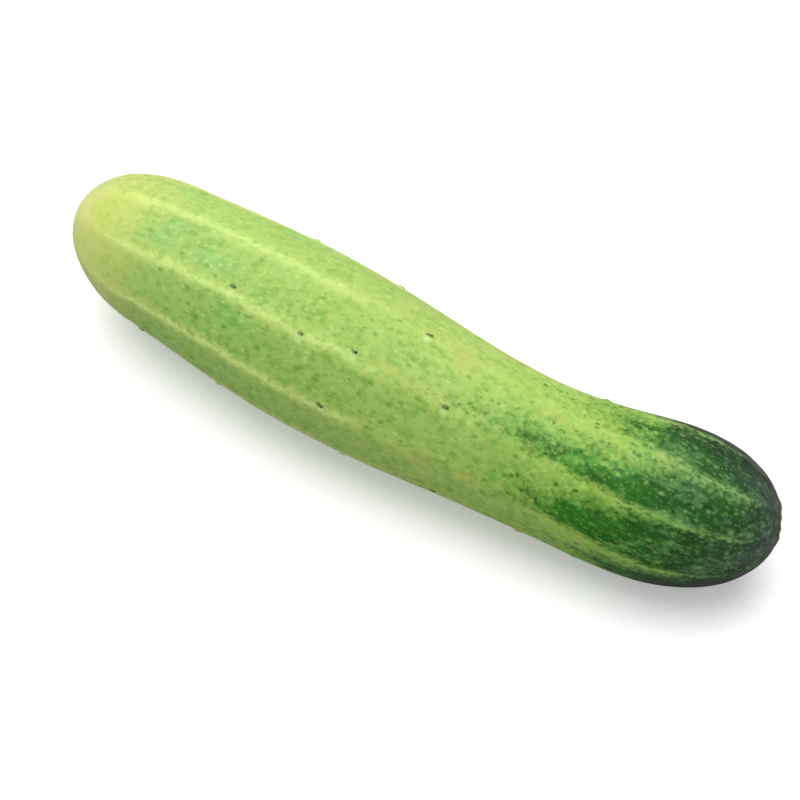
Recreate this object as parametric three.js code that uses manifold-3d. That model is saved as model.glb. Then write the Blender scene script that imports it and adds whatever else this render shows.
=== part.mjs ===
// A fresh cucumber, as picked: one grown solid that lies on its side.
// Millimetres, +Z up. X runs along the fruit, from the pale blossom end at -X to the dark stem end
// at +X, and the bend lies in the horizontal plane with its belly towards -Y.
// Run with the npm packages three and manifold-3d.

import * as THREE from "three";
import { mergeVertices } from "three/addons/utils/BufferGeometryUtils.js";
import Module from "manifold-3d";

// ---------------------------------------------------------------- driving dimensions

// Centreline: a cubic Bezier curve. Each handle reaches along a share of the chord from its own end,
// and stands off the chord by its bow, so that most of the bend is near the stem.
const CHORD = 191.5;
const BLOSSOM_REACH = 0.5;
const BLOSSOM_BOW = 8.5;
const STEM_REACH = 0.225;
const STEM_BOW = 19.2;

// Radius along the centreline, each place measured from the blossom tip.
const NOSE_RADIUS = 17.3;
const BELLY_RADIUS = 21.3;
const BELLY_AT = 73;
const WAIST_RADIUS = 17.8;
const WAIST_AT = 135;
const HIP_RADIUS = 19.3;
const HIP_AT = 167;

// Rounded ends: the length that each end takes, and how square its shoulder is (2 is an ellipse).
const BLOSSOM_CAP = 26;
const BLOSSOM_SQUARENESS = 2.2;
const STEM_CAP = 36;
const STEM_SQUARENESS = 2.8;

// Ribs run from end to end. They run straightest in the pale half, and turn the same way, in degrees,
// on their way to either end.
const RIB_COUNT = 9;
const RIB_HEIGHT = 0.45;
const FIRST_RIB_ANGLE = 30.5;
const STRAIGHTEST_AT = 95;
const TURN_TO_BLOSSOM = 14.5;
const TURN_TO_STEM = 27;
const LOBE_COUNT = 3;
const LOBE_HEIGHT = 0.15;
const RELIEF_STARTS_AT_RADIUS = 4;
const RELIEF_IS_FULL_AT_RADIUS = 14;

// Warts sit along the ribs. The gaps between them, and the degrees by which they stray from the crest,
// follow one repeating row each, and every rib enters the two rows at its own place.
const WART_GAPS = [21, 13.5, 25, 36, 24];
const WART_STRAYS = [-6, 1, -5, -2, 4];
const FIRST_WART_ON_RIB = [54, 86, 31, 58, 24, 76, 38, 60, 101];
const ROW_START_ON_RIB = [0, 3, 2, 4, 1, 3, 0, 2, 3];
const LAST_WART_AT = 172;

// Outlines of the small features, as pairs of radius and height. Each is turned about an axis that
// points out of the skin, and a negative height is below the skin.
// Wart: a low dome that carries the stub of its spine.
const WART_OUTLINE = [[0, -0.8], [1.25, -0.8], [0.95, 0.27], [0.32, 0.45], [0, 1.1]];
const WART_SIDES = 6;
// Stem scar: a round corky rim with a sunken middle, where the stalk came off.
const STEM_RIM_OUTLINE = [[0, -1.6], [5.6, -1.6], [5.6, 0], [5.1, 0.4], [0, 0.4]];
const STEM_PIT_OUTLINE = [[0, -0.8], [2, -0.65], [4.6, 0.4], [4.6, 1.6], [0, 1.6]];
const STEM_SCAR_INSET = 1;
// Blossom scar: a small corky button with a dimple, where the flower dried off.
const BLOSSOM_BUTTON_OUTLINE = [[0, -1.6], [2.5, -1.6], [2, 0.35], [0.9, 0.35], [0, 0]];
const SCAR_SIDES = 18;

// Underside: the belly and the hip are pressed flat by this much where they rest.
const FLAT_DEPTH = 0.4;

// Mesh: facets between two ribs, and rings from tip to tip.
const FACETS_PER_RIB = 6;
const RINGS = 62;

// ---------------------------------------------------------------- shape of the body

const { clamp, degToRad, smoothstep } = THREE.MathUtils;

// The axis drops towards the thinner stem half, so that the belly and the hip rest level.
const AXIS_DROP_PER_MM = (BELLY_RADIUS - HIP_RADIUS) / (HIP_AT - BELLY_AT);
const AXIS_HEIGHT_AT_BLOSSOM = BELLY_RADIUS + BELLY_AT * AXIS_DROP_PER_MM - FLAT_DEPTH;
const AXIS_HEIGHT_AT_STEM = AXIS_HEIGHT_AT_BLOSSOM - CHORD * AXIS_DROP_PER_MM;

function curvePoint(share, bow) {
  const height = THREE.MathUtils.lerp(AXIS_HEIGHT_AT_BLOSSOM, AXIS_HEIGHT_AT_STEM, share);
  return new THREE.Vector3((share - 0.5) * CHORD, -bow, height);
}

const centreline = new THREE.CubicBezierCurve3(
  curvePoint(0, 0),
  curvePoint(BLOSSOM_REACH, BLOSSOM_BOW),
  curvePoint(1 - STEM_REACH, STEM_BOW),
  curvePoint(1, 0),
);
const LENGTH = centreline.getLength();

function roundedEnd(distance, capLength, squareness) {
  const inward = clamp(distance / capLength, 0, 1);
  return Math.sqrt(1 - (1 - inward) ** squareness);
}

function bodyRadius(distance) {
  const sleeve = NOSE_RADIUS
    + (BELLY_RADIUS - NOSE_RADIUS) * smoothstep(distance, 0, BELLY_AT)
    + (WAIST_RADIUS - BELLY_RADIUS) * smoothstep(distance, BELLY_AT, WAIST_AT)
    + (HIP_RADIUS - WAIST_RADIUS) * smoothstep(distance, WAIST_AT, HIP_AT);
  const blossomEnd = roundedEnd(distance, BLOSSOM_CAP, BLOSSOM_SQUARENESS);
  const stemEnd = roundedEnd(LENGTH - distance, STEM_CAP, STEM_SQUARENESS);
  return sleeve * blossomEnd * stemEnd;
}

// Angle of a rib's crest, in radians from straight up towards -Y.
function ribAngle(rib, distance) {
  const towardsBlossom = Math.max(1 - distance / STRAIGHTEST_AT, 0);
  const towardsStem = Math.max((distance - STRAIGHTEST_AT) / (LENGTH - STRAIGHTEST_AT), 0);
  const turn = TURN_TO_BLOSSOM * towardsBlossom ** 2 + TURN_TO_STEM * towardsStem ** 2;
  return degToRad(FIRST_RIB_ANGLE + turn + (rib * 360) / RIB_COUNT);
}

function relief(distance, angle) {
  const fade = smoothstep(bodyRadius(distance), RELIEF_STARTS_AT_RADIUS, RELIEF_IS_FULL_AT_RADIUS);
  const aroundRibs = RIB_COUNT * (angle - ribAngle(0, distance));
  const rib = RIB_HEIGHT * (0.5 + 0.5 * Math.cos(aroundRibs)) ** 2;
  const lobe = LOBE_HEIGHT * Math.cos(LOBE_COUNT * angle);
  return fade * (rib + lobe);
}

function axisFrame(distance) {
  const share = clamp(distance / LENGTH, 0, 1);
  const along = centreline.getTangentAt(share);
  const back = new THREE.Vector3(0, 0, 1).cross(along).normalize();
  const up = new THREE.Vector3().crossVectors(along, back);
  return { point: centreline.getPointAt(share), along, back, up };
}

function outwardAt(distance, angle) {
  const { back, up } = axisFrame(distance);
  return up.multiplyScalar(Math.cos(angle)).addScaledVector(back, -Math.sin(angle));
}

function surfacePoint(distance, angle) {
  const radius = bodyRadius(distance) + relief(distance, angle);
  return axisFrame(distance).point.addScaledVector(outwardAt(distance, angle), radius);
}

// ---------------------------------------------------------------- solids

const wasm = await Module();
wasm.setup();

function solidFrom(geometry) {
  geometry.deleteAttribute("normal");
  geometry.deleteAttribute("uv");
  const merged = mergeVertices(geometry);
  const mesh = new wasm.Mesh({
    numProp: 3,
    vertProperties: new Float32Array(merged.attributes.position.array),
    triVerts: new Uint32Array(merged.index.array),
  });
  return new wasm.Manifold(mesh);
}

function geometryFrom(solid) {
  const mesh = solid.getMesh();
  const geometry = new THREE.BufferGeometry();
  geometry.setAttribute("position", new THREE.BufferAttribute(mesh.vertProperties, 3));
  geometry.setIndex(new THREE.BufferAttribute(mesh.triVerts, 1));
  return geometry;
}

// A sphere is drawn out along the centreline: its poles become the two tips.
function fruitBody() {
  const geometry = new THREE.SphereGeometry(1, RIB_COUNT * FACETS_PER_RIB, RINGS);
  const position = geometry.attributes.position;
  const onSphere = new THREE.Vector3();
  for (let i = 0; i < position.count; i += 1) {
    onSphere.fromBufferAttribute(position, i);
    const distance = (LENGTH * (1 + clamp(onSphere.y, -1, 1))) / 2;
    const angle = ribAngle(0, distance) + Math.atan2(onSphere.x, onSphere.z);
    const point = surfacePoint(distance, angle);
    position.setXYZ(i, point.x, point.y, point.z);
  }
  return solidFrom(geometry);
}

// Turns an outline into a solid whose axis, +Y, then points outwards from a place on the skin.
function turnedOn(outline, sides, point, outward) {
  const points = outline.map(([radius, height]) => new THREE.Vector2(radius, height));
  const geometry = new THREE.LatheGeometry(points, sides);
  const turn = new THREE.Quaternion().setFromUnitVectors(new THREE.Vector3(0, 1, 0), outward);
  geometry.applyQuaternion(turn);
  geometry.translate(point.x, point.y, point.z);
  return solidFrom(geometry);
}

function warts() {
  const solids = [];
  for (let rib = 0; rib < RIB_COUNT; rib += 1) {
    let distance = FIRST_WART_ON_RIB[rib];
    for (let place = ROW_START_ON_RIB[rib]; distance <= LAST_WART_AT; place += 1) {
      const step = place % WART_GAPS.length;
      const angle = ribAngle(rib, distance) + degToRad(WART_STRAYS[step]);
      const outward = outwardAt(distance, angle);
      solids.push(turnedOn(WART_OUTLINE, WART_SIDES, surfacePoint(distance, angle), outward));
      distance += WART_GAPS[step];
    }
  }
  return solids;
}

function onStemEnd(outline) {
  const { point, along } = axisFrame(LENGTH - STEM_SCAR_INSET);
  return turnedOn(outline, SCAR_SIDES, point, along);
}

function blossomButton() {
  const { point, along } = axisFrame(0);
  return turnedOn(BLOSSOM_BUTTON_OUTLINE, SCAR_SIDES, point, along.negate());
}

// The surface that the cucumber rests on, as a block that its underside is pressed flat against.
function restingBlock() {
  const geometry = new THREE.BoxGeometry(2 * CHORD, CHORD, BELLY_RADIUS);
  geometry.translate(0, 0, -BELLY_RADIUS / 2);
  return solidFrom(geometry);
}

// ---------------------------------------------------------------- the cucumber

function cucumber() {
  const raised = [onStemEnd(STEM_RIM_OUTLINE), blossomButton(), ...warts()];
  const grown = raised.reduce((solid, piece) => solid.add(piece), fruitBody());
  const rested = grown.subtract(onStemEnd(STEM_PIT_OUTLINE)).subtract(restingBlock());
  const geometry = geometryFrom(rested);
  geometry.computeBoundingBox();
  const middle = geometry.boundingBox.getCenter(new THREE.Vector3());
  geometry.translate(-middle.x, -middle.y, 0);
  geometry.computeVertexNormals();
  const skin = new THREE.MeshStandardMaterial({ color: 0x8dbb55, roughness: 0.42, metalness: 0 });
  const mesh = new THREE.Mesh(geometry, skin);
  mesh.name = "cucumber";
  return mesh;
}

const part = new THREE.Group();
part.add(cucumber());

export default part;
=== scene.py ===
"""A fresh cucumber lying on a pale studio floor.

Geometry Nodes grow its skin, the spines on its warts and the scars at its two ends, all from the
sizes of the solid cucumber. Lengths are in metres and angles in degrees, unless a name or a comment
says otherwise.
"""

import math

import bpy
from mathutils import Matrix, Vector
from mathutils.geometry import interpolate_bezier


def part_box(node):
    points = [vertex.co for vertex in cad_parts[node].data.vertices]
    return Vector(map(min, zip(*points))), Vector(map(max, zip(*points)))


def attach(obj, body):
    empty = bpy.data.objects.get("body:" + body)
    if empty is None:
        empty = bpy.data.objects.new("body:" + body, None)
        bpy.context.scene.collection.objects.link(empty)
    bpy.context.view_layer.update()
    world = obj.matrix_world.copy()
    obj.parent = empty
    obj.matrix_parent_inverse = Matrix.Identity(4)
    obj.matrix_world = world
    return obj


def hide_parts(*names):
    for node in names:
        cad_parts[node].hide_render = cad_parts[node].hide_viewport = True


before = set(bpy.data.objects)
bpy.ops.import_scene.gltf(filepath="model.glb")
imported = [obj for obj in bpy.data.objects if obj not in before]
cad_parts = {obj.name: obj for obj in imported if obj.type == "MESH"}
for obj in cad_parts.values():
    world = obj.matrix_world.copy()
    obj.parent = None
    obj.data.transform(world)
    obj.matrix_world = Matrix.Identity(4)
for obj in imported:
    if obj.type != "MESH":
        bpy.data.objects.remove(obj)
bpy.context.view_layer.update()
scene = bpy.context.scene

MM = 0.001

# ---------------------------------------------------------------- sizes of the cucumber

RIB_COUNT = 9
FLAT_DEPTH = 0.4 * MM
BELLY_RADIUS = 21.3 * MM
BELLY_AT = 73 * MM
HIP_RADIUS = 19.3 * MM
HIP_AT = 167 * MM
STEM_SCAR_RADIUS = 5.6 * MM
STEM_SCAR_INSET = 1.0 * MM
BLOSSOM_SCAR_RADIUS = 2.4 * MM

# The centreline is a cubic Bezier curve. Each handle reaches along a share of the chord from its own
# end, and stands off the chord by its bow, so that most of the bend is near the stem.
CHORD = 191.5 * MM
BLOSSOM_REACH = 0.5
BLOSSOM_BOW = 8.5 * MM
STEM_REACH = 0.225
STEM_BOW = 19.2 * MM
CURVE_STEPS = 512

# The axis drops towards the thinner stem half, so that the belly and the hip rest level.
AXIS_DROP = (BELLY_RADIUS - HIP_RADIUS) / (HIP_AT - BELLY_AT)
HEIGHT_AT_BLOSSOM = BELLY_RADIUS + BELLY_AT * AXIS_DROP - FLAT_DEPTH
HEIGHT_AT_STEM = HEIGHT_AT_BLOSSOM - CHORD * AXIS_DROP


def curve_point(share, bow):
    """Place at a share of the chord, standing off it by the bow."""
    height = HEIGHT_AT_BLOSSOM + (HEIGHT_AT_STEM - HEIGHT_AT_BLOSSOM) * share
    return Vector(((share - 0.5) * CHORD, -bow, height))


CENTRELINE = {
    "Start": curve_point(0, 0),
    "Start Handle": curve_point(BLOSSOM_REACH, BLOSSOM_BOW),
    "End Handle": curve_point(1 - STEM_REACH, STEM_BOW),
    "End": curve_point(1, 0),
}
CURVE_POINTS = interpolate_bezier(*CENTRELINE.values(), CURVE_STEPS)
LENGTH = sum((b - a).length for a, b in zip(CURVE_POINTS, CURVE_POINTS[1:]))

# The named inputs of the node groups. What is "at" a place is so far from the blossom tip.
BODY_SIZES = {
    **CENTRELINE,
    "Length": LENGTH,
    "Nose radius": 17.3 * MM,
    "Belly radius": BELLY_RADIUS,
    "Belly at": BELLY_AT,
    "Waist radius": 17.8 * MM,
    "Waist at": 135 * MM,
    "Hip radius": HIP_RADIUS,
    "Hip at": HIP_AT,
    "Blossom cap": 26 * MM,
    "Blossom squareness": 2.2,
    "Stem cap": 36 * MM,
    "Stem squareness": 2.8,
    "Stem scar inset": STEM_SCAR_INSET,
    "Rib count": float(RIB_COUNT),
    "Rib height": 0.33 * MM,
    "First rib angle": 30.5,
    "Straightest at": 95 * MM,
    "Turn to blossom": 14.5,
    "Turn to stem": 27.0,
    "Lobe count": 3.0,
    "Lobe height": 0.15 * MM,
    "Relief starts at radius": 4 * MM,
    "Relief is full at radius": 17 * MM,
}
SKIN_SIZES = {
    "Segments": 240,
    "Rings": 400,
    "Wart radius": 1.3 * MM,
    "Wart height": 0.4 * MM,
    "Wave height": 0.5 * MM,
    "Ripple height": 0.16 * MM,
    "Waves start at radius": 2 * MM,
    "Waves are full at radius": 12 * MM,
    "Pucker height": 0.3 * MM,
    "Puckers start before stem tip": 12 * MM,
    "Puckers are full before stem tip": 3 * MM,
    "Puckers start at radius": 4 * MM,
    "Puckers are full at radius": 7 * MM,
    "Blossom scar radius": BLOSSOM_SCAR_RADIUS,
    "Depth under blossom scar": 0.8 * MM,
    "Stem scar radius": STEM_SCAR_RADIUS,
    "Depth under stem scar": 1.3 * MM,
}
SPINE_SIZES = {
    "Sides": 9,
    "Side rings": 4,
    "Base radius": 0.5 * MM,
    "Tip radius": 0.24 * MM,
    "Spine height": 1.1 * MM,
    "Root depth": 0.25 * MM,
    "Pinch": 0.45,
    "Lean": 2.1,
    "Stray": 0.5,
    "Least growth": 0.8,
    "Growth range": 0.5,
    "Share kept": 0.75,
    "Spines end at": 120 * MM,
    "Least clearance": 2.0 * MM,
    "Seed": 246,
}
STEM_SCAR_SIZES = {
    "Segments": 96,
    "Rings": 64,
    "Scar radius": STEM_SCAR_RADIUS,
    "Rim height": 0.4 * MM,
    "Pit depth": 0.8 * MM,
    "Ray count": 10.0,
    "Ray height": 0.4 * MM,
    "Crumb height": 0.35 * MM,
    "Root depth": 1.2 * MM,
    "Distance": LENGTH - STEM_SCAR_INSET,
    "Facing": 1.0,
}
BLOSSOM_SCAR_SIZES = {
    "Segments": 60,
    "Rings": 40,
    "Scar radius": BLOSSOM_SCAR_RADIUS,
    "Rim height": 0.3 * MM,
    "Pit depth": 0.2 * MM,
    "Ray count": 5.0,
    "Ray height": 0.12 * MM,
    "Crumb height": 0.35 * MM,
    "Root depth": 1.2 * MM,
    "Distance": 0.0,
    "Facing": -1.0,
}

# Warts sit along the ribs. The gaps between them, and the degrees by which they stray from the crest,
# follow one repeating row each, and every rib enters the two rows at its own place.
WART_GAPS = [21 * MM, 13.5 * MM, 25 * MM, 36 * MM, 24 * MM]
WART_STRAYS = [-6, 1, -5, -2, 4]
FIRST_WART_ON_RIB = [54 * MM, 86 * MM, 31 * MM, 58 * MM, 24 * MM, 76 * MM, 38 * MM, 60 * MM, 101 * MM]
ROW_START_ON_RIB = [0, 3, 2, 4, 1, 3, 0, 2, 3]
LAST_WART_AT = 172 * MM

# The skin's waves, ripples and puckers: how long they are in mm, and how far the puckers wander.
WAVE_LENGTH = 30
RIPPLE_LENGTH = 5
PUCKERS_PER_RIB = 2.0
PUCKER_WANDER = 5.0
PUCKER_WANDER_LENGTH = 6

# The share of a wart's radius that is level on top, and the shares of a scar's radius between which
# the skin under it comes back up.
WART_TOP = 0.15
DIP_UNDER_SCAR = (0.64, 0.92)

# A scar from its middle, at 0, to its edge, at 1: where each of its forms rises and where it falls.
RIM_RISES = (0.5, 0.76)
RIM_FALLS = (0.8, 1.0)
PIT_RISES = (0.1, 0.72)
RAYS_RISE = (0.2, 0.5)
RAYS_FALL = (0.62, 0.95)
CRUMBS_FALL = (0.85, 1.0)
RAY_WANDER = 3.0
EDGE_WANDER = 0.08

# ---------------------------------------------------------------- building node trees

SOCKET_KINDS = {
    float: "NodeSocketFloat",
    int: "NodeSocketInt",
    Vector: "NodeSocketVector",
    bpy.types.Material: "NodeSocketMaterial",
    type(None): "NodeSocketGeometry",
}
GROUP_NODES = {"GeometryNodeTree": "GeometryNodeGroup", "ShaderNodeTree": "ShaderNodeGroup"}


class Field:
    """What comes out of a node. Arithmetic on it adds further nodes to the same tree."""

    def __init__(self, tree, socket):
        self.tree = tree
        self.socket = socket

    def __add__(self, other):
        return calc("ADD", self, other)

    def __radd__(self, other):
        return calc("ADD", other, self)

    def __sub__(self, other):
        return calc("SUBTRACT", self, other)

    def __rsub__(self, other):
        return calc("SUBTRACT", other, self)

    def __mul__(self, other):
        return calc("MULTIPLY", self, other)

    def __rmul__(self, other):
        return calc("MULTIPLY", self, other)

    def __truediv__(self, other):
        return calc("DIVIDE", self, other)

    def __rtruediv__(self, other):
        return calc("DIVIDE", other, self)

    def __pow__(self, other):
        return calc("POWER", self, other)


def pick(sockets, key):
    """A socket by its number or name, among those that the node's settings leave in use."""
    if isinstance(key, int):
        return sockets[key]
    return next(socket for socket in sockets if socket.enabled and socket.name == key)


def add(tree, kind, inputs=None, **settings):
    """A new node with its settings made and its inputs linked or set."""
    node = tree.nodes.new(kind)
    for name, value in settings.items():
        setattr(node, name, value)
    for key, value in (inputs or {}).items():
        if isinstance(value, Field):
            tree.links.new(value.socket, pick(node.inputs, key))
        else:
            pick(node.inputs, key).default_value = value
    return node


def out(node, key=0):
    return Field(node.id_data, pick(node.outputs, key))


def is_vector(value):
    return isinstance(value, Vector) or isinstance(value, Field) and value.socket.type == "VECTOR"


def is_colour(value):
    return isinstance(value, tuple) or isinstance(value, Field) and value.socket.type == "RGBA"


def calc(operation, *values):
    """A Math node, or a Vector Math node where a value is a vector."""
    tree = next(value.tree for value in values if isinstance(value, Field))
    if not any(is_vector(value) for value in values):
        return out(add(tree, "ShaderNodeMath", dict(enumerate(values)), operation=operation))
    if operation == "MULTIPLY" and not is_vector(values[1]):
        scaling = {"Vector": values[0], "Scale": values[1]}
        return out(add(tree, "ShaderNodeVectorMath", scaling, operation="SCALE"))
    return out(add(tree, "ShaderNodeVectorMath", dict(enumerate(values)), operation=operation))


def dot(first, second):
    factors = {0: first, 1: second}
    return out(add(first.tree, "ShaderNodeVectorMath", factors, operation="DOT_PRODUCT"), "Value")


def length_of(field):
    return out(add(field.tree, "ShaderNodeVectorMath", {0: field}, operation="LENGTH"), "Value")


def rise(value, start, end):
    """Rises from 0 to 1 between start and end, without corners."""
    limits = {"Value": value, "From Min": start, "From Max": end}
    return out(add(value.tree, "ShaderNodeMapRange", limits, interpolation_type="SMOOTHSTEP"), "Result")


def fall(value, start, end):
    """Falls from 1 to 0 between start and end, without corners."""
    return 1.0 - rise(value, start, end)


def between(value, start, end, low=0.0, high=1.0):
    """Goes straight from low to high between start and end, and no further."""
    limits = {"Value": value, "From Min": start, "From Max": end, "To Min": low, "To Max": high}
    return out(add(value.tree, "ShaderNodeMapRange", limits), "Result")


def mix(share, low, high):
    """A number or a colour between two others."""
    kind = "RGBA" if is_colour(low) or is_colour(high) else "FLOAT"
    values = {"Factor": share, "A": low, "B": high}
    return out(add(share.tree, "ShaderNodeMix", values, data_type=kind), "Result")


def vector(x, y, z):
    tree = next(value.tree for value in (x, y, z) if isinstance(value, Field))
    return out(add(tree, "ShaderNodeCombineXYZ", {0: x, 1: y, 2: z}))


def split(field):
    node = add(field.tree, "ShaderNodeSeparateXYZ", {0: field})
    return [out(node, index) for index in range(3)]


def noise(place, wave, detail=1.0):
    """Cloudy values around 0, mostly from -0.3 to 0.3. A wave is about so long, in the place's unit."""
    settings = {"Vector": place, "Scale": 1.0 / wave, "Detail": detail}
    return out(add(place.tree, "ShaderNodeTexNoise", settings), "Fac") - 0.5


def new_group(name, kind, inputs, outputs):
    """A node group with named sockets: the tree, its inputs as fields and the node that it ends in."""
    tree = bpy.data.node_groups.new(name, kind)
    for socket_name, default in inputs.items():
        socket_kind = SOCKET_KINDS[type(default)]
        socket = tree.interface.new_socket(socket_name, in_out="INPUT", socket_type=socket_kind)
        if default is not None:
            socket.default_value = default
    for socket_name, sample in outputs.items():
        tree.interface.new_socket(socket_name, in_out="OUTPUT", socket_type=SOCKET_KINDS[type(sample)])
    start = tree.nodes.new("NodeGroupInput")
    fields = {socket.name: Field(tree, socket) for socket in start.outputs if socket.name}
    return tree, fields, tree.nodes.new("NodeGroupOutput")


def end_in(tree, end, results):
    for name, field in results.items():
        tree.links.new(field.socket, end.inputs[name])


def use(tree, group, inputs):
    """Places a group in a tree and gives back its outputs as fields."""
    node = add(tree, GROUP_NODES[tree.bl_idname], inputs, node_tree=group)
    return {socket.name: Field(tree, socket) for socket in node.outputs}


def passed_on(fields, names):
    """Those inputs of a group that it hands to another group."""
    return {name: fields[name] for name in names}


# ---------------------------------------------------------------- shape of the cucumber

ANY_VECTOR = Vector()


def axis_group():
    """Place and directions of the centreline, at a distance from the blossom tip."""
    tree, size, end = new_group(
        "Cucumber axis",
        "GeometryNodeTree",
        {"Distance": 0.0, **CENTRELINE},
        {"Point": ANY_VECTOR, "Along": ANY_VECTOR, "Back": ANY_VECTOR, "Up": ANY_VECTOR},
    )
    curve = {"Resolution": CURVE_STEPS, **passed_on(size, CENTRELINE)}
    segment = add(tree, "GeometryNodeCurvePrimitiveBezierSegment", curve)
    place = {"Curves": out(segment), "Length": size["Distance"]}
    sample = add(tree, "GeometryNodeSampleCurve", place, mode="LENGTH")
    along = out(sample, "Tangent")
    upright = out(add(tree, "ShaderNodeCombineXYZ", {2: 1.0}))
    back = calc("NORMALIZE", calc("CROSS_PRODUCT", upright, along))
    up = calc("CROSS_PRODUCT", along, back)
    end_in(tree, end, {"Point": out(sample, "Position"), "Along": along, "Back": back, "Up": up})
    return tree


def rounded_end(distance, cap, squareness):
    inward = between(distance / cap, 0.0, 1.0)
    return calc("SQRT", 1.0 - (1.0 - inward) ** squareness)


def body_group(axis):
    """The ribbed body: a point of its surface, by the distance from the blossom tip and the turn from
    the first rib in radians."""
    tree, size, end = new_group(
        "Cucumber body",
        "GeometryNodeTree",
        {"Distance": 0.0, "Turn": 0.0, **BODY_SIZES},
        {"Position": ANY_VECTOR, "Outward": ANY_VECTOR, "Along": ANY_VECTOR, "Radius": 0.0},
    )
    distance = size["Distance"]
    length = size["Length"]
    sleeve = (
        size["Nose radius"]
        + (size["Belly radius"] - size["Nose radius"]) * rise(distance, 0.0, size["Belly at"])
        + (size["Waist radius"] - size["Belly radius"]) * rise(distance, size["Belly at"], size["Waist at"])
        + (size["Hip radius"] - size["Waist radius"]) * rise(distance, size["Waist at"], size["Hip at"])
    )
    blossom_end = rounded_end(distance, size["Blossom cap"], size["Blossom squareness"])
    stem_end = rounded_end(length - distance, size["Stem cap"], size["Stem squareness"])
    radius = sleeve * blossom_end * stem_end

    straightest = size["Straightest at"]
    to_blossom = between(distance, straightest, 0.0)
    to_stem = between(distance, straightest, length)
    crest = (
        size["First rib angle"]
        + size["Turn to blossom"] * to_blossom * to_blossom
        + size["Turn to stem"] * to_stem * to_stem
    )
    angle = calc("RADIANS", crest) + size["Turn"]
    fade = rise(radius, size["Relief starts at radius"], size["Relief is full at radius"])
    crested = 0.5 + 0.5 * calc("COSINE", size["Turn"] * size["Rib count"])
    lobed = calc("COSINE", angle * size["Lobe count"])
    relief = fade * (size["Rib height"] * crested * crested + size["Lobe height"] * lobed)

    cut = calc("MINIMUM", distance, length - size["Stem scar inset"])
    line = use(tree, axis, {"Distance": cut, **passed_on(size, CENTRELINE)})
    outward = line["Up"] * calc("COSINE", angle) - line["Back"] * calc("SINE", angle)
    position = line["Point"] + outward * (radius + relief)
    results = {"Position": position, "Outward": outward, "Along": line["Along"], "Radius": radius}
    end_in(tree, end, results)
    return tree


def named(tree, name):
    return out(add(tree, "GeometryNodeInputNamedAttribute", {"Name": name}))


def store(geometry, name, value, data_type="FLOAT", domain="POINT"):
    inputs = {"Geometry": geometry, "Name": name, "Value": value}
    kind = "GeometryNodeStoreNamedAttribute"
    return out(add(geometry.tree, kind, inputs, data_type=data_type, domain=domain))


def own_place(tree):
    """Where each point is, at the node that asks."""
    return out(add(tree, "GeometryNodeInputPosition"))


def moved(geometry, position):
    places = {"Geometry": geometry, "Position": position}
    return out(add(geometry.tree, "GeometryNodeSetPosition", places))


def mapped_ball(tree, size):
    """A ball of radius 1, closed at its poles, with its own UV map."""
    ball = {"Segments": size["Segments"], "Rings": size["Rings"], "Radius": 1.0}
    sphere = add(tree, "GeometryNodeMeshUVSphere", ball)
    return store(out(sphere), "OFBake", out(sphere, "UV Map"), "FLOAT2", "CORNER")


def finished(geometry, material):
    """Smooth, real mesh in its material."""
    tree = geometry.tree
    soft = out(add(tree, "GeometryNodeSetShadeSmooth", {"Geometry": geometry}))
    real = out(add(tree, "GeometryNodeRealizeInstances", {"Geometry": soft}))
    return out(add(tree, "GeometryNodeSetMaterial", {"Geometry": real, "Material": material}))


def on_warts(tree, body, sizes, warts):
    """The wart seeds, moved to their places on the body, and the body's values there."""
    place = use(tree, body, {"Distance": named(tree, "distance"), "Turn": named(tree, "turn"), **sizes})
    return moved(warts, place["Position"]), place


def skin_unevenness(size, distance, turn, radius, straight):
    """Height of the skin's waves, its ripples and the puckers round the stem scar."""
    waves = size["Wave height"] * noise(straight, wave=WAVE_LENGTH)
    ripples = size["Ripple height"] * noise(straight, wave=RIPPLE_LENGTH)
    full = rise(radius, size["Waves start at radius"], size["Waves are full at radius"])
    uneven = full * (waves + ripples)

    pucker_start = size["Length"] - size["Puckers start before stem tip"]
    pucker_full = size["Length"] - size["Puckers are full before stem tip"]
    off_scar = rise(radius, size["Puckers start at radius"], size["Puckers are full at radius"])
    near_stem = rise(distance, pucker_start, pucker_full) * off_scar
    wander = noise(straight, wave=PUCKER_WANDER_LENGTH) * PUCKER_WANDER
    folds = calc("COSINE", turn * (PUCKERS_PER_RIB * RIB_COUNT) + wander)
    pucker = near_stem * size["Pucker height"] * (0.5 * folds - 0.5)
    return uneven + pucker


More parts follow.
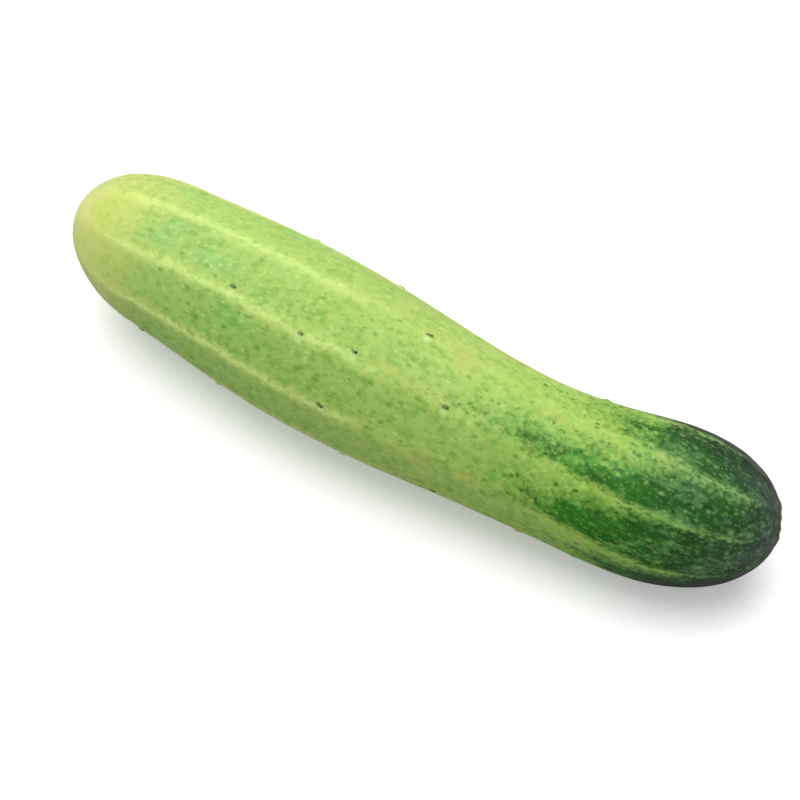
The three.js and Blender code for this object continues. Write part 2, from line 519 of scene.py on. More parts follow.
def skin_group(body, material):
    """A ball drawn out along the axis: its poles become the two tips of the skin."""
    tree, size, end = new_group(
        "Cucumber skin",
        "GeometryNodeTree",
        {"Warts": None, "Material": material, **SKIN_SIZES, **BODY_SIZES},
        {"Skin": None},
    )
    x, y, z = split(own_place(tree))
    length = size["Length"]
    distance = length * (1.0 + z) / 2.0
    turn = calc("ARCTAN2", y, x)
    sizes = passed_on(size, BODY_SIZES)
    place = use(tree, body, {"Distance": distance, "Turn": turn, **sizes})
    radius = place["Radius"]

    # The place on the cucumber if it were straight, in mm, for what is uneven or painted.
    straight = vector(distance, radius * calc("COSINE", turn), radius * calc("SINE", turn)) * (1 / MM)
    uneven = skin_unevenness(size, distance, turn, radius, straight)

    warts, _ = on_warts(tree, body, sizes, size["Warts"])
    search = {"Geometry": warts, "Sample Position": place["Position"]}
    nearest = add(tree, "GeometryNodeProximity", search, target_element="POINTS")
    wart_radius = size["Wart radius"]
    wart = size["Wart height"] * fall(out(nearest, "Distance"), WART_TOP * wart_radius, wart_radius)
    offset = place["Position"] - out(nearest, "Position")
    beside = calc("CROSS_PRODUCT", place["Along"], place["Outward"])
    from_wart = vector(dot(offset, place["Along"]), dot(offset, beside), 0.0) * (1 / MM)

    # The skin dips under each scar, so that only the scar shows there.
    stem_half = calc("GREATER_THAN", distance, length / 2.0)
    scar_radius = mix(stem_half, size["Blossom scar radius"], size["Stem scar radius"])
    inner, outer = DIP_UNDER_SCAR
    under_scar = fall(radius, inner * scar_radius, outer * scar_radius)
    depth = mix(stem_half, size["Depth under blossom scar"], -1.0 * size["Depth under stem scar"])

    grown = place["Position"] + place["Outward"] * (uneven + wart) + place["Along"] * (depth * under_scar)
    grown_x, grown_y, grown_z = split(grown)
    rested = vector(grown_x, grown_y, calc("MAXIMUM", grown_z, 0.0))

    skin = store(mapped_ball(tree, size), "straight", straight, "FLOAT_VECTOR")
    skin = store(skin, "from_wart", from_wart, "FLOAT_VECTOR")
    end_in(tree, end, {"Skin": finished(moved(skin, rested), size["Material"])})
    return tree


def spine_stub(tree, size):
    """One spine, upright on its root and pinched half way up."""
    cone = {
        "Vertices": size["Sides"],
        "Side Segments": size["Side rings"],
        "Radius Top": size["Tip radius"],
        "Radius Bottom": size["Base radius"],
        "Depth": size["Spine height"],
    }
    stub = out(add(tree, "GeometryNodeMeshCone", cone), "Mesh")
    x, y, z = split(own_place(tree))
    height_share = z / size["Spine height"]
    pinch = 1.0 - size["Pinch"] * calc("SINE", height_share * math.pi)
    return moved(stub, vector(x * pinch, y * pinch, z - size["Root depth"]))


def spine_group(body, material):
    """The dark stub of a spine on each wart, lying over along the fruit. Lost are those near the stem or
    the floor, and a share of the rest."""
    tree, size, end = new_group(
        "Wart spines",
        "GeometryNodeTree",
        {"Warts": None, "Material": material, **SPINE_SIZES, **BODY_SIZES},
        {"Spines": None},
    )
    warts, place = on_warts(tree, body, passed_on(size, BODY_SIZES), size["Warts"])

    every_way = {"Min": Vector((-1, -1, -1)), "Max": Vector((1, 1, 1)), "Seed": size["Seed"]}
    stray = out(add(tree, "FunctionNodeRandomValue", every_way, data_type="FLOAT_VECTOR"), "Value")
    lean = place["Outward"] + place["Along"] * size["Lean"] + stray * size["Stray"]
    rotation = out(add(tree, "FunctionNodeAlignRotationToVector", {"Vector": lean}, axis="Z"))

    any_share = {"Min": 0.0, "Max": 1.0, "Seed": size["Seed"]}
    luck = out(add(tree, "FunctionNodeRandomValue", any_share), "Value")
    height = split(own_place(tree))[2]
    clear = calc("GREATER_THAN", height, size["Least clearance"])
    near_blossom = calc("LESS_THAN", named(tree, "distance"), size["Spines end at"])
    stubs = {
        "Points": warts,
        "Selection": clear * near_blossom * calc("LESS_THAN", luck, size["Share kept"]),
        "Instance": spine_stub(tree, size),
        "Rotation": rotation,
        "Scale": size["Least growth"] + size["Growth range"] * luck,
    }
    spines = out(add(tree, "GeometryNodeInstanceOnPoints", stubs))
    end_in(tree, end, {"Spines": finished(spines, size["Material"])})
    return tree


def scar_group(axis, material):
    """A round corky scar on an end of the axis: a raised rim, rays, and a sunken middle."""
    tree, size, end = new_group(
        "Corky scar",
        "GeometryNodeTree",
        {"Seed shape": None, "Material": material, **STEM_SCAR_SIZES, **CENTRELINE},
        {"Scar": None},
    )
    place = own_place(tree)
    x, y, z = split(place)
    share = calc("SQRT", x * x + y * y)
    ray_wander = noise(place, wave=1 / 3) * RAY_WANDER
    rays = calc("COSINE", calc("ARCTAN2", y, x) * size["Ray count"] + ray_wander)
    rim = size["Rim height"] * rise(share, *RIM_RISES) * fall(share, *RIM_FALLS)
    pit = size["Pit depth"] * fall(share, *PIT_RISES)
    ring = rise(share, *RAYS_RISE) * fall(share, *RAYS_FALL)
    crumbs = size["Crumb height"] * noise(place, wave=1 / 9, detail=3.0) * fall(share, *CRUMBS_FALL)
    top = rim - pit + size["Ray height"] * ring * (0.5 + 0.5 * rays) + crumbs
    height = mix(calc("GREATER_THAN", z, 0.0), z * size["Root depth"], top)
    wander = 1.0 + EDGE_WANDER * noise(vector(x, y, 0.0), wave=1 / 1.6)

    line = use(tree, axis, {"Distance": size["Distance"], **passed_on(size, CENTRELINE)})
    across = line["Back"] * (x * size["Scar radius"] * wander)
    over = line["Up"] * (y * size["Scar radius"] * wander * size["Facing"])
    position = line["Point"] + across + over + line["Along"] * (height * size["Facing"])
    scar = store(mapped_ball(tree, size), "scar_share", share)
    scar = store(scar, "scar_ray", ring * rays)
    end_in(tree, end, {"Scar": finished(moved(scar, position), size["Material"])})
    return tree


def wart_seeds():
    """One vertex for each wart, which carries its place along the fruit and its turn from the first rib."""
    distances = []
    turns = []
    for rib in range(RIB_COUNT):
        distance = FIRST_WART_ON_RIB[rib]
        row_place = ROW_START_ON_RIB[rib]
        while distance <= LAST_WART_AT:
            step = row_place % len(WART_GAPS)
            distances.append(distance)
            turns.append(math.radians(rib * 360 / RIB_COUNT + WART_STRAYS[step]))
            distance += WART_GAPS[step]
            row_place += 1
    mesh = bpy.data.meshes.new("wart_seeds")
    mesh.from_pydata([(0, 0, 0)] * len(distances), [], [])
    mesh.attributes.new("distance", "FLOAT", "POINT").data.foreach_set("value", distances)
    mesh.attributes.new("turn", "FLOAT", "POINT").data.foreach_set("value", turns)
    return mesh


def grow(name, seeds, group, values):
    """Runs a Geometry Nodes group on the seeds, and keeps its result as a plain mesh."""
    seed = bpy.data.objects.new(name + "_seed", seeds)
    scene.collection.objects.link(seed)
    growth = seed.modifiers.new("Growth", "NODES")
    growth.node_group = group
    for item in group.interface.items_tree:
        if item.in_out == "INPUT" and item.name in values:
            growth[item.identifier] = values[item.name]
    grown = seed.evaluated_get(bpy.context.evaluated_depsgraph_get())
    mesh = bpy.data.meshes.new_from_object(grown)
    mesh.name = name
    seed.modifiers.remove(growth)
    bpy.data.objects.remove(seed)
    piece = bpy.data.objects.new(name, mesh)
    scene.collection.objects.link(piece)
    return piece


# ---------------------------------------------------------------- shared finishes


def paint(red, green, blue):
    """A colour by its 0 to 255 screen values, as the linear light that shaders take."""
    def linear(value):
        part = value / 255
        return part / 12.92 if part <= 0.04045 else ((part + 0.055) / 1.055) ** 2.4
    return (linear(red), linear(green), linear(blue), 1.0)


def fleck_group():
    """Small round flecks: one in a share of the cells, with soft edges."""
    tree, size, end = new_group(
        "Flecks",
        "ShaderNodeTree",
        {"Place": ANY_VECTOR, "Spacing": 1.0, "Fleck radius": 0.3, "Softness": 0.15, "Share": 0.5},
        {"Mask": 0.0},
    )
    cells = add(tree, "ShaderNodeTexVoronoi", {"Vector": size["Place"], "Scale": 1.0 / size["Spacing"]})
    luck = add(tree, "ShaderNodeSeparateColor", {0: out(cells, "Color")})
    radius = size["Fleck radius"] * (0.6 + 0.8 * out(luck, "Green")) / size["Spacing"]
    softness = size["Softness"] / size["Spacing"]
    disc = fall(out(cells, "Distance"), radius - softness, radius + softness)
    chosen = calc("LESS_THAN", out(luck, "Red"), size["Share"])
    end_in(tree, end, {"Mask": disc * chosen})
    return tree


def bloom_group():
    """Natural unevenness of a surface: how rough it is, and the height of its grain."""
    tree, size, end = new_group(
        "Bloom and grain",
        "ShaderNodeTree",
        {
            "Place": ANY_VECTOR,
            "Patch size": 12.0,
            "Grain size": 0.5,
            "Least roughness": 0.3,
            "Most roughness": 0.5,
        },
        {"Roughness": 0.0, "Grain": 0.0},
    )
    patches = noise(size["Place"], wave=size["Patch size"], detail=3.0)
    grain = noise(size["Place"], wave=size["Grain size"], detail=2.0)
    share = between(patches + 0.35 * grain, -0.22, 0.22)
    roughness = mix(share, size["Least roughness"], size["Most roughness"])
    end_in(tree, end, {"Roughness": roughness, "Grain": grain})
    return tree


FLECKS = fleck_group()
BLOOM = bloom_group()


def flecks(place, spacing, radius, softness, share):
    sizes = {"Spacing": spacing, "Fleck radius": radius, "Softness": softness, "Share": share}
    return use(place.tree, FLECKS, {"Place": place, **sizes})["Mask"]


def bloom(place, patch_size, grain_size, least_roughness, most_roughness):
    """Roughness and grain of a surface. The place and the sizes are in mm."""
    sizes = {"Patch size": patch_size, "Grain size": grain_size}
    limits = {"Least roughness": least_roughness, "Most roughness": most_roughness}
    results = use(place.tree, BLOOM, {"Place": place, **sizes, **limits})
    return results["Roughness"], results["Grain"]


def bump(height, depth):
    relief = {"Strength": 1.0, "Distance": depth, "Height": height}
    return out(add(height.tree, "ShaderNodeBump", relief))


def new_material(name):
    material = bpy.data.materials.new(name)
    material.use_nodes = True
    return material, material.node_tree, material.node_tree.nodes["Principled BSDF"]


def dress(shader, linked, **plain):
    """Links what changes over the surface, and sets what is the same all over."""
    for name, field in linked.items():
        shader.id_data.links.new(field.socket, shader.inputs[name])
    for name, value in plain.items():
        shader.inputs[name.replace("_", " ")].default_value = value


def attribute(tree, name, output):
    return out(add(tree, "ShaderNodeAttribute", attribute_name=name), output)


def place_in_mm(tree):
    return out(add(tree, "ShaderNodeTexCoord"), "Object") * (1 / MM)


# ---------------------------------------------------------------- skin

# Places along the fruit are in mm from the blossom tip in this section, and places round it in ribs.
PAINTED_LENGTH = 200.0
# The dark flame in each valley: where it starts, beside the rib before it and beside the rib after it,
# and over how many mm it darkens. Last, how much greener than the rest it is.
VALLEYS = [
    (145, 112, 36, 0.75),
    (149, 137, 28, 0.5),
    (138, 116, 44, 0.4),
    (146, 128, 50, 0.6),
    (132, 106, 46, 0.35),
    (118, 134, 40, 0.7),
    (130, 110, 52, 0.5),
    (128, 129, 54, 0.15),
    (142, 86, 68, 0.5),
]
# The pale line on each rib: where it has faded out, how strong it is, and how wide. Last, the share of
# the dark flames beside it that covers it in the stem half.
PALE_LINES = [
    (108, 0.64, 0.85, 0.45),
    (116, 0.75, 0.9, 0.55),
    (122, 0.6, 1.0, 0.48),
    (104, 0.8, 0.8, 0.42),
    (128, 0.6, 1.1, 0.5),
    (108, 0.75, 1.0, 0.4),
    (118, 0.6, 0.8, 0.52),
    (96, 0.5, 1.0, 0.46),
    (106, 0.5, 1.25, 0.64),
]
LINE_FADE_LENGTH = 34.0

# Where a look comes or goes along the fruit: where that starts, and where it is complete.
LINES_START = (6.0, 26.0)
YELLOW_ENDS = (6.0, 32.0)
COOL_GREEN_ENDS = (50.0, 80.0)
OCHRE_STARTS = (64.0, 100.0)
WART_MARKS_END = (117.0, 122.0)
DEEP_GREEN_STARTS = (130.0, 155.0)
STARS_DIM = (130.0, 192.0)
GAPS_NARROW = (135.0, 186.0)
CLOUDS_GREY = (145.0, 190.0)
LINE_COVER_GROWS = (150.0, 192.0)
STARS_GREEN = (150.0, 200.0)
# Painted shade on the flanks of the stem end comes in here.
FLANK_SHADE_STARTS = (156.0, 170.0)
END_DARKENS = (178.0, 192.0)

# The same from the crest of a rib, at 0, to the middle of a valley, at 0.5.
CREST_TO_VALLEY = (0.0, 0.5)
LINE_CORE = (0.02, 0.085)
LINE_GLOW = (0.05, 0.22)
VALLEY_STARTS = (0.06, 0.22)
OCHRE_ENDS = (0.1, 0.34)
DEEP_GREEN_ENDS = (0.12, 0.42)

# For the painted shade on the stem end's flanks: the same in ribs round from the middle between the flanks,
# which is a little off the first rib.
FLANK_SHADE_MIDDLE_OFF = 0.25
FLANK_SHADE_RISES = (0.9, 1.9)
FLANK_SHADE_FADES = (2.2, 3.2)

# How far a flame runs ahead in the middle of its valley, and stays back beside the ribs, in mm.
FLAME_TONGUE = 7.0

# How much more of the pale lines the flames cover at the stem end.
LINE_COVER_GROWTH = 0.14

# From the waist to the stem end: the half width of the gaps on the pale lines, in ribs, and the strength
# of the stars. From pale to dark flame: the radius of the large stars, in mm.
GAP_WIDTHS = (0.15, 0.085)
STAR_STRENGTHS = (0.95, 0.5)
LARGE_STAR_RADII = (0.46, 0.3)

# Colours of the ground and of the flames, by their place along the fruit.
PALE_GREENS = [
    (4, paint(206, 212, 130)),
    (14, paint(198, 210, 114)),
    (36, paint(180, 207, 110)),
    (66, paint(176, 203, 104)),
    (112, paint(184, 207, 110)),
    (150, paint(164, 198, 90)),
    (185, paint(122, 168, 70)),
]
FLAME_GREENS = [
    (105, paint(76, 140, 38)),
    (135, paint(50, 126, 16)),
    (158, paint(32, 106, 6)),
    (175, paint(30, 84, 24)),
    # The grey of the last stop, at the stem tip, is partly the end's own grey bloom and partly a painted
    # sheen of light caught on the end.
    (191, paint(64, 74, 68)),
]
TIP_YELLOW = paint(190, 206, 72)
VALLEY_GREEN = paint(124, 178, 74)
COOL_GREEN = paint(140, 206, 128)
CELL_GREEN = paint(112, 166, 58)
DOT_PALE = paint(204, 232, 136)
FLECK_GREEN = paint(88, 142, 46)
LINE_PALE = paint(216, 238, 142)
OCHRE = paint(192, 188, 98)
DEEP_GREEN = paint(18, 80, 2)
STREAK_GREEN = paint(14, 58, 6)
CLOUD_AT_WAIST = paint(98, 170, 70)
CLOUD_AT_STEM = paint(92, 124, 92)
# Painted shade: the near black that darkens the flanks of the stem end.
PAINTED_FLANK_SHADE = paint(12, 24, 14)
STAR_GREEN = paint(142, 190, 118)
# Painted highlight: the small pale spot beside each wart.
PAINTED_WART_HIGHLIGHT = paint(214, 240, 160)
FOOT_GREEN = paint(62, 104, 36)

# Steps along the fruit count only this much in the mottle, which draws it out.
MOTTLE_DRAW = 0.68

# The marks on a wart, in mm from its middle: where the painted highlight is, how the foot of the spine is
# squeezed, and between which radii each of them ends.
HIGHLIGHT_SPOT_AT = Vector((0.3, 1.2, 0))
HIGHLIGHT_SPOT_RADII = (0.4, 1.5)
FOOT_SHAPE = Vector((0.75, 1.25, 1))
FOOT_RADII = (0.35, 0.95)

# Steps that move a pattern off another one of the same kind, so that the two don't fall together.
YELLOW_STEP = Vector((40, 0, 0))
OCHRE_STEP = Vector((0, 0, 60))
SPECK_STEP = Vector((0, 30, 0))


def per_rib(share, rows):
    """Values that step from one rib to the next, by the share of the way round."""
    node = add(share.tree, "ShaderNodeValToRGB", {"Fac": share})
    ramp = node.color_ramp
    ramp.interpolation = "CONSTANT"
    while len(ramp.elements) < len(rows):
        ramp.elements.new(1.0)
    for index, row in enumerate(rows):
        ramp.elements[index].position = index / len(rows)
        ramp.elements[index].color = row
    parts = add(share.tree, "ShaderNodeSeparateColor", {0: out(node, "Color")})
    return [out(parts, name) for name in ("Red", "Green", "Blue")] + [out(node, "Alpha")]


def along_fruit(along, stops):
    """Colour by the place along the fruit."""
    node = add(along.tree, "ShaderNodeValToRGB", {"Fac": along / PAINTED_LENGTH})
    ramp = node.color_ramp
    while len(ramp.elements) < len(stops):
        ramp.elements.new(1.0)
    for element, (distance, colour) in zip(ramp.elements, stops):
        element.position = distance / PAINTED_LENGTH
        element.color = colour
    return out(node, "Color")


def drawn_out(place, share):
    """The place for a pattern that is longer along the fruit than across it, where steps along it count
    only by the share."""
    return place * Vector((share, 1, 1))


class Spot:
    """A spot of the skin: where it is, and the unevenness and the rib values that its patterns share."""

    def __init__(self, tree):
        self.straight = attribute(tree, "straight", "Vector")
        self.along, across, over = split(self.straight)
        self.drift = noise(self.straight, wave=16)
        self.jitter = noise(self.straight, wave=2.2, detail=2.0)
        self.grain = noise(self.straight, wave=1.1, detail=2.0)
        self.streaks = noise(drawn_out(self.straight, 0.35), wave=2.6, detail=2.0)
        self.clouds = noise(drawn_out(self.straight, 0.4), wave=3.2)
        self.tremble = vector(self.grain, self.jitter, self.streaks)
        self.crumpled = self.straight + self.tremble * 1.6

        # Ribs are counted round the fruit: a whole number is a crest.
        self.turn = calc("ARCTAN2", over, across) * (RIB_COUNT / math.tau)
        self.wavy = self.turn + self.drift * 0.2 + self.jitter * 0.14
        self.from_crest = calc("PINGPONG", self.wavy, 0.5)
        valley = per_rib(calc("FRACT", self.wavy / RIB_COUNT), VALLEYS)
        self.flame_before, self.flame_after, self.flame_fade, self.greenness = valley
        line = per_rib(calc("FRACT", (self.wavy + 0.5) / RIB_COUNT), PALE_LINES)
        self.line_end, self.line_strength, self.line_width, self.line_cover = line

        line_fade_start = self.line_end - LINE_FADE_LENGTH
        self.line_left = fall(self.along + self.drift * 40.0, line_fade_start, self.line_end)
        off_line = 0.8 * (1.0 - self.line_left)
        self.in_valley = calc("MAXIMUM", rise(self.from_crest, *VALLEY_STARTS), off_line)
        green_from = self.along - self.greenness * 36.0 + self.drift * 24.0 + self.jitter * 18.0
        self.past_tip = rise(green_from, -18.0, 20.0)


def pale_ground(spot):
    """Yellow tip, then green that is palest at the middle, with greener and cooler valleys."""
    ground = along_fruit(spot.along + spot.drift * 22.0 + spot.jitter * 14.0, PALE_GREENS)
    yellow_patches = rise(noise(spot.straight + YELLOW_STEP, wave=10), -0.04, 0.2)
    yellow = yellow_patches * fall(spot.along, *YELLOW_ENDS)
    ground = mix(yellow * 0.55, ground, TIP_YELLOW)
    ground = mix(spot.in_valley * spot.past_tip * spot.greenness * 0.6, ground, VALLEY_GREEN)
    cool_patches = rise(noise(spot.straight, wave=9, detail=3.0), -0.06, 0.2)
    cool = cool_patches * spot.past_tip * fall(spot.along, *COOL_GREEN_ENDS)
    return mix(cool * spot.in_valley * 0.38, ground, COOL_GREEN)


def darker_cells(spot):
    """Mask of the mottle's darker cells."""
    fine = noise(drawn_out(spot.straight, MOTTLE_DRAW), wave=1.5, detail=3.0)
    coarse = noise(spot.straight, wave=4)
    return rise(fine + 0.4 * coarse, -0.12, 0.24)


def with_mottle(base, spot, cells):
    """Darker cells, small pale dots and darker flecks."""
    place = drawn_out(spot.crumpled, MOTTLE_DRAW)
    mottled = spot.past_tip * (0.35 + 0.5 * spot.greenness)
    base = mix(cells * mottled, base, CELL_GREEN)
    dots = flecks(place, spacing=1.4, radius=0.34, softness=0.24, share=0.55)
    base = mix(dots * spot.past_tip * 0.34, base, DOT_PALE)
    darker = flecks(place, spacing=1.8, radius=0.42, softness=0.26, share=0.45)
    return mix(darker * mottled * 0.8, base, FLECK_GREEN)


def with_pale_lines(base, spot):
    """A pale line on each rib, with a softer glow beside it."""
    core, glow = [
        fall(spot.from_crest, inner * spot.line_width, outer * spot.line_width)
        for inner, outer in (LINE_CORE, LINE_GLOW)
    ]
    line = (0.6 * core + 0.34 * glow) * spot.line_strength * spot.line_left
    line = line * rise(spot.along, *LINES_START)
    return mix(line * (0.9 + 1.4 * spot.grain + 0.8 * spot.jitter), base, LINE_PALE)


def with_ochre_blush(base, spot):
    """Ochre patches beside the ribs, past the middle."""
    patches = rise(noise(spot.straight + OCHRE_STEP, wave=6, detail=2.0), 0.0, 0.2)
    blush = patches * fall(spot.from_crest, *OCHRE_ENDS)
    return mix(blush * rise(spot.along, *OCHRE_STARTS) * 0.35, base, OCHRE)


def flame_darkness(spot, to_end):
    """How dark the flames are, from 0 at their fronts. They leave a gap along each pale line."""
    tongue = between(spot.from_crest, *CREST_TO_VALLEY, FLAME_TONGUE, -FLAME_TONGUE)
    front = mix(calc("FRACT", spot.wavy), spot.flame_before, spot.flame_after) + tongue
    depth = between(spot.along + spot.drift * 16.0, front, front + spot.flame_fade)
    gap = between(spot.along, *GAPS_NARROW, *GAP_WIDTHS)
    on_line = spot.line_cover + between(spot.along, *LINE_COVER_GROWS, 0.0, LINE_COVER_GROWTH)
    beside_line = mix(rise(spot.from_crest, gap * 0.25, gap * 1.3), on_line, 1.0)
    return calc("MAXIMUM", depth * beside_line, to_end)


def flame_mask(spot, darkness):
    """Where flame covers the ground: ragged, and dissolved into specks at its front."""
    uneven = darkness + spot.streaks * 0.55 + spot.grain * 0.75
    body = rise(uneven, 0.1, 0.8) * rise(darkness, 0.0, 0.12)
    ragged = drawn_out(spot.straight, 0.7) + spot.tremble * 2.2
    specks = flecks(ragged + SPECK_STEP, spacing=1.35, radius=0.42, softness=0.26, share=0.62)
    front_specks = specks * rise(darkness, 0.0, 0.16) * fall(darkness, 0.4, 0.8)
    return calc("MAXIMUM", body, front_specks * 0.84)


def shade_on_stem_flanks(spot):
    """Painted shade on the two flanks of the stem end, which is fainter further round from the middle
    between them.
    """
    from_middle = calc("ABSOLUTE", spot.turn + FLANK_SHADE_MIDDLE_OFF)
    shaded_flanks = rise(from_middle, *FLANK_SHADE_RISES) * (1.0 - 0.55 * rise(from_middle, *FLANK_SHADE_FADES))
    return shaded_flanks * rise(spot.along, *FLANK_SHADE_STARTS)


def flame_colour(spot, to_end, shaded_flanks):
    """Greens of the flames: deeper beside the ribs, streaked, clouded, and painted nearly black with shade
    on the flanks of the stem end.
    """
    flame = along_fruit(spot.along + spot.drift * 20.0, FLAME_GREENS)
    deep = fall(spot.from_crest, *DEEP_GREEN_ENDS) * rise(spot.along, *DEEP_GREEN_STARTS) * (1.0 - to_end)
    flame = mix(deep * 0.4, flame, DEEP_GREEN)
    flame = mix(rise(spot.streaks + 0.5 * spot.grain, -0.02, 0.2) * 0.62, flame, STREAK_GREEN)
    fine = noise(drawn_out(spot.crumpled, 0.55), wave=1.7, detail=3.0)
    clouded = rise(fine + 0.7 * spot.clouds, -0.03, 0.24)
    cloud = mix(rise(spot.along, *CLOUDS_GREY), CLOUD_AT_WAIST, CLOUD_AT_STEM)
    flame = mix(clouded * 0.56, flame, cloud)
    # Painted shade darkens the flanks of the stem end nearly to black.
    return mix(shaded_flanks * 0.8, flame, PAINTED_FLANK_SHADE)


def star_mask(spot, darkness, shaded_flanks):
    """Small pale stars in the flames, with few where the flanks of the stem end are painted in shade."""
    large_radius = between(darkness, 0.2, 0.9, *LARGE_STAR_RADII)
    large_place = drawn_out(spot.crumpled, 0.62)
    small_place = drawn_out(spot.crumpled, 0.8)
    large = flecks(large_place, spacing=1.25, radius=large_radius, softness=0.34, share=0.6)
    small = flecks(small_place, spacing=0.75, radius=0.2, softness=0.2, share=0.6)
    stars = calc("MAXIMUM", large, 0.8 * small) * (1.0 - 0.7 * shaded_flanks)
    uneven = 0.8 + 1.2 * spot.jitter + 1.6 * spot.clouds
    return stars * between(spot.along, *STARS_DIM, *STAR_STRENGTHS) * uneven


def with_wart_marks(base, spot, from_wart):
    """On the warts of the pale half: the dark foot of a spine, and a painted highlight, a small pale spot,
    beside it.
    """
    marked = fall(spot.along, *WART_MARKS_END)
    from_highlight = length_of(from_wart - HIGHLIGHT_SPOT_AT)
    from_foot = length_of(from_wart * FOOT_SHAPE) + spot.grain
    # Painted highlight: a small pale spot beside each wart.
    base = mix(fall(from_highlight, *HIGHLIGHT_SPOT_RADII) * marked * 0.5, base, PAINTED_WART_HIGHLIGHT)
    return mix(fall(from_foot, *FOOT_RADII) * marked * 0.75, base, FOOT_GREEN)


def skin_material():
    material, tree, shader = new_material("Cucumber skin")
    spot = Spot(tree)
    cells = darker_cells(spot)
    base = with_mottle(pale_ground(spot), spot, cells)
    base = with_ochre_blush(with_pale_lines(base, spot), spot)

    to_end = rise(spot.along, *END_DARKENS)
    # Painted shade on the flanks of the stem end, which also thins the stars there.
    shaded_flanks = shade_on_stem_flanks(spot)
    darkness = flame_darkness(spot, to_end)
    stars = star_mask(spot, darkness, shaded_flanks)
    dark = flame_mask(spot, darkness) * (1.0 - stars)
    starry = mix(rise(spot.along, *STARS_GREEN), base, STAR_GREEN)
    base = mix(dark, starry, flame_colour(spot, to_end, shaded_flanks))
    base = with_wart_marks(base, spot, attribute(tree, "from_wart", "Vector"))

    roughness, grain = bloom(
        spot.straight,
        patch_size=14.0,
        grain_size=0.45,
        least_roughness=0.38,
        most_roughness=0.54,
    )
    relief = grain * 0.5 + cells * 0.3 - dark * 0.25 + stars * 0.5
    dress(
        shader,
        {"Base Color": base, "Roughness": roughness, "Normal": bump(relief, depth=0.06 * MM)},
        Specular_IOR_Level=0.22,
        Subsurface_Weight=0.12,
        Subsurface_Radius=Vector((1.0, 1.6, 0.4)),
        Subsurface_Scale=1.2 * MM,
    )
    return material


# ---------------------------------------------------------------- spines and scars

DRIED_GREEN = paint(46, 66, 26)
DRIED_STRAW = paint(92, 98, 46)
CORK_PORE = paint(78, 74, 52)
CORK_FURROW = paint(74, 78, 52)
CORK_MIDDLE = paint(70, 64, 42)


def spine_material():
    material, tree, shader = new_material("Dried spine")
    place = place_in_mm(tree)
    roughness, grain = bloom(
        place,
        patch_size=0.8,
        grain_size=0.15,
        least_roughness=0.55,
        most_roughness=0.8,
    )
    straw = between(noise(place, wave=1 / 1.8, detail=2.0), -0.2, 0.2)
    colour = mix(straw, DRIED_GREEN, DRIED_STRAW)
    dress(shader, {"Base Color": colour, "Roughness": roughness, "Normal": bump(grain, depth=0.04 * MM)})
    return material


def scar_material(name, dark_cork, pale_cork, edge):
    """Cork with pores, furrows between its rays and a darker middle, which ends in the skin's edge."""
    material, tree, shader = new_material(name)
    place = place_in_mm(tree)
    share = attribute(tree, "scar_share", "Fac")
    roughness, grain = bloom(
        place,
        patch_size=2.5,
        grain_size=0.25,
        least_roughness=0.6,
        most_roughness=0.9,
    )
    pale = between(noise(place, wave=1.2, detail=3.0), -0.2, 0.2)
    cork = mix(pale, dark_cork, pale_cork)
    pores = flecks(place, spacing=0.7, radius=0.2, softness=0.1, share=0.45)
    cork = mix(pores * 0.6, cork, CORK_PORE)
    furrow = rise(attribute(tree, "scar_ray", "Fac") * -1.0, 0.0, 0.7)
    cork = mix(furrow * 0.5, cork, CORK_FURROW)
    cork = mix(fall(share, 0.12, 0.5) * 0.75, cork, CORK_MIDDLE)
    cork = mix(rise(share + 0.3 * grain, 0.84, 0.98), cork, edge)
    dress(shader, {"Base Color": cork, "Roughness": roughness, "Normal": bump(grain, depth=0.12 * MM)})
    return material


# ---------------------------------------------------------------- the pieces

AXIS = axis_group()
BODY = body_group(AXIS)
SKIN_PAINT = skin_material()
SPINE_PAINT = spine_material()
STEM_CORK = scar_material("Stem cork", paint(104, 112, 82), paint(166, 164, 128), paint(66, 88, 58))
BLOSSOM_CORK = scar_material("Blossom cork", paint(126, 112, 70), paint(178, 162, 108), paint(162, 166, 92))
SCAR = scar_group(AXIS, STEM_CORK)

seeds = wart_seeds()
skin = grow("cucumber_skin", seeds, skin_group(BODY, SKIN_PAINT), SKIN_SIZES)
spines = grow("wart_spines", seeds, spine_group(BODY, SPINE_PAINT), SPINE_SIZES)
stem_scar = grow("stem_scar", seeds, SCAR, STEM_SCAR_SIZES)
blossom_scar = grow("blossom_scar", seeds, SCAR, {**BLOSSOM_SCAR_SIZES, "Material": BLOSSOM_CORK})

# The pieces keep their places among themselves, and the skin is centred in the solid cucumber's box.
skin_corners = [Vector(corner) for corner in skin.bound_box]
skin_middle = sum(skin_corners, Vector()) / len(skin_corners)
cad_middle = sum(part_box("cucumber"), Vector()) / 2
centring = Matrix.Translation((cad_middle.x - skin_middle.x, cad_middle.y - skin_middle.y, 0))

SLOTS = {skin: "skin", spines: "spine", stem_scar: "scar", blossom_scar: "scar"}
for piece, slot in SLOTS.items():
    piece.data.transform(centring)
    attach(piece, "root")
    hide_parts("cucumber")

# ---------------------------------------------------------------- studio

FLOOR_HALF = 4.0
FLOOR_DROP = 0.1 * MM
FLOOR_ROUGHNESS = 0.9
FLOOR_WHITE = paint(252, 252, 252)
FLOOR_GREY = paint(165, 165, 165)
FLOOR_GLOW = 0.24
FLOOR_GLOW_ON_PIECES = 0.02
ROOM_WHITE = paint(255, 255, 255)
ROOM_LIGHT = 1.0
ROOM_LIGHT_ON_PIECES = 0.5
CAMERA_AZIMUTH = math.radians(28.4)
CAMERA_ELEVATION = math.radians(55.0)
CAMERA_DISTANCE = 637.8 * MM
CAMERA_TARGET = Vector((1.4, -7.0, 21.5)) * MM
LENS_MM = 120.0
SENSOR_MM = 36.0


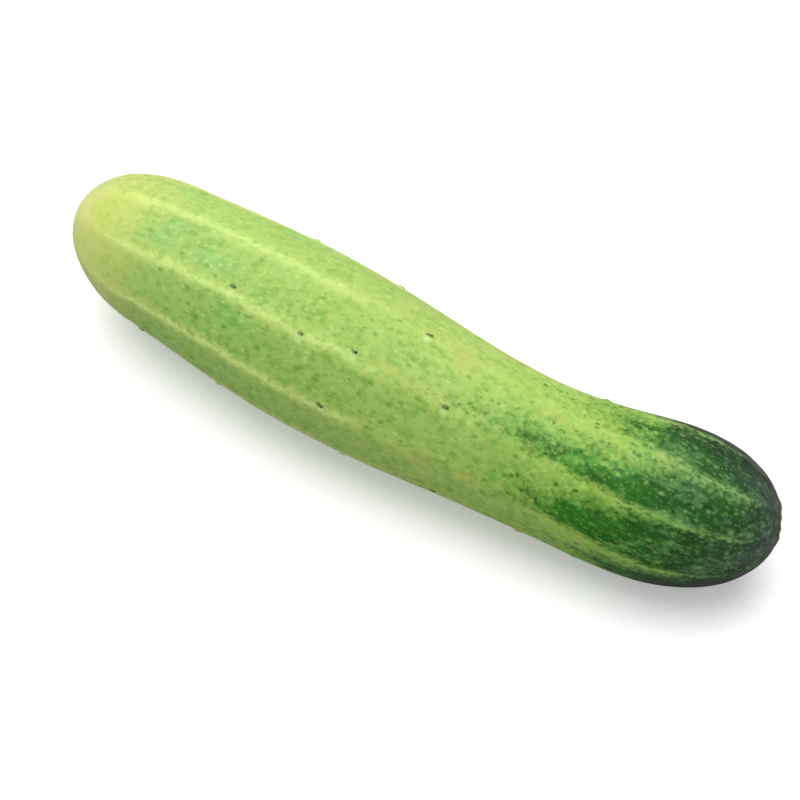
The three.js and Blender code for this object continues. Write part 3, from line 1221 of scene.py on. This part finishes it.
def seen_directly(tree):
    """1 where the camera looks straight at a surface, and 0 for the light that it throws on others."""
    return out(add(tree, "ShaderNodeLightPath"), "Is Camera Ray")


def turned_to(direction):
    """The rotation of a lamp that shines, or a camera that looks, from a direction."""
    return direction.to_track_quat("Z", "Y").to_euler()


def floor():
    mesh = bpy.data.meshes.new("floor")
    corners = [(-1, -1), (1, -1), (1, 1), (-1, 1)]
    points = [(x * FLOOR_HALF, y * FLOOR_HALF, -FLOOR_DROP) for x, y in corners]
    mesh.from_pydata(points, [], [(0, 1, 2, 3)])
    material, tree, shader = new_material("Pale floor")
    # The floor throws back less light than it shows, as a small lit sheet in a large room does.
    seen = seen_directly(tree)
    sheet = mix(seen, FLOOR_GREY, FLOOR_WHITE)
    glow = mix(seen, FLOOR_GLOW_ON_PIECES, FLOOR_GLOW)
    linked = {"Base Color": sheet, "Emission Strength": glow}
    dress(shader, linked, Roughness=FLOOR_ROUGHNESS, Emission_Color=ROOM_WHITE)
    mesh.materials.append(material)
    plane = bpy.data.objects.new("floor", mesh)
    scene.collection.objects.link(plane)


def soft_lamp(name, energy, spread, direction):
    """A sun lamp with the soft shadows of a panel that spreads over so many degrees."""
    sun = bpy.data.lights.new(name, "SUN")
    sun.energy = energy
    sun.angle = math.radians(spread)
    lamp = bpy.data.objects.new(name, sun)
    lamp.rotation_euler = turned_to(Vector(direction))
    scene.collection.objects.link(lamp)


def room():
    world = bpy.data.worlds.new("Pale room")
    world.use_nodes = True
    tree = world.node_tree
    background = tree.nodes["Background"]
    background.inputs["Color"].default_value = ROOM_WHITE
    strength = mix(seen_directly(tree), ROOM_LIGHT_ON_PIECES, ROOM_LIGHT)
    tree.links.new(strength.socket, background.inputs["Strength"])
    scene.world = world


def camera():
    level = math.cos(CAMERA_ELEVATION)
    back = Vector((
        math.sin(CAMERA_AZIMUTH) * level,
        -math.cos(CAMERA_AZIMUTH) * level,
        math.sin(CAMERA_ELEVATION),
    ))
    data = bpy.data.cameras.new("Camera")
    data.lens = LENS_MM
    data.sensor_width = SENSOR_MM
    eye = bpy.data.objects.new("Camera", data)
    eye.location = CAMERA_TARGET + back * CAMERA_DISTANCE
    eye.rotation_euler = turned_to(back)
    scene.collection.objects.link(eye)
    scene.camera = eye


floor()
soft_lamp("Softbox", energy=2.3, spread=70, direction=(-0.25, 0.28, 1.0))
soft_lamp("Side panel", energy=0.45, spread=60, direction=(-1.0, -0.55, 0.45))
room()
camera()
scene.view_settings.view_transform = "Standard"
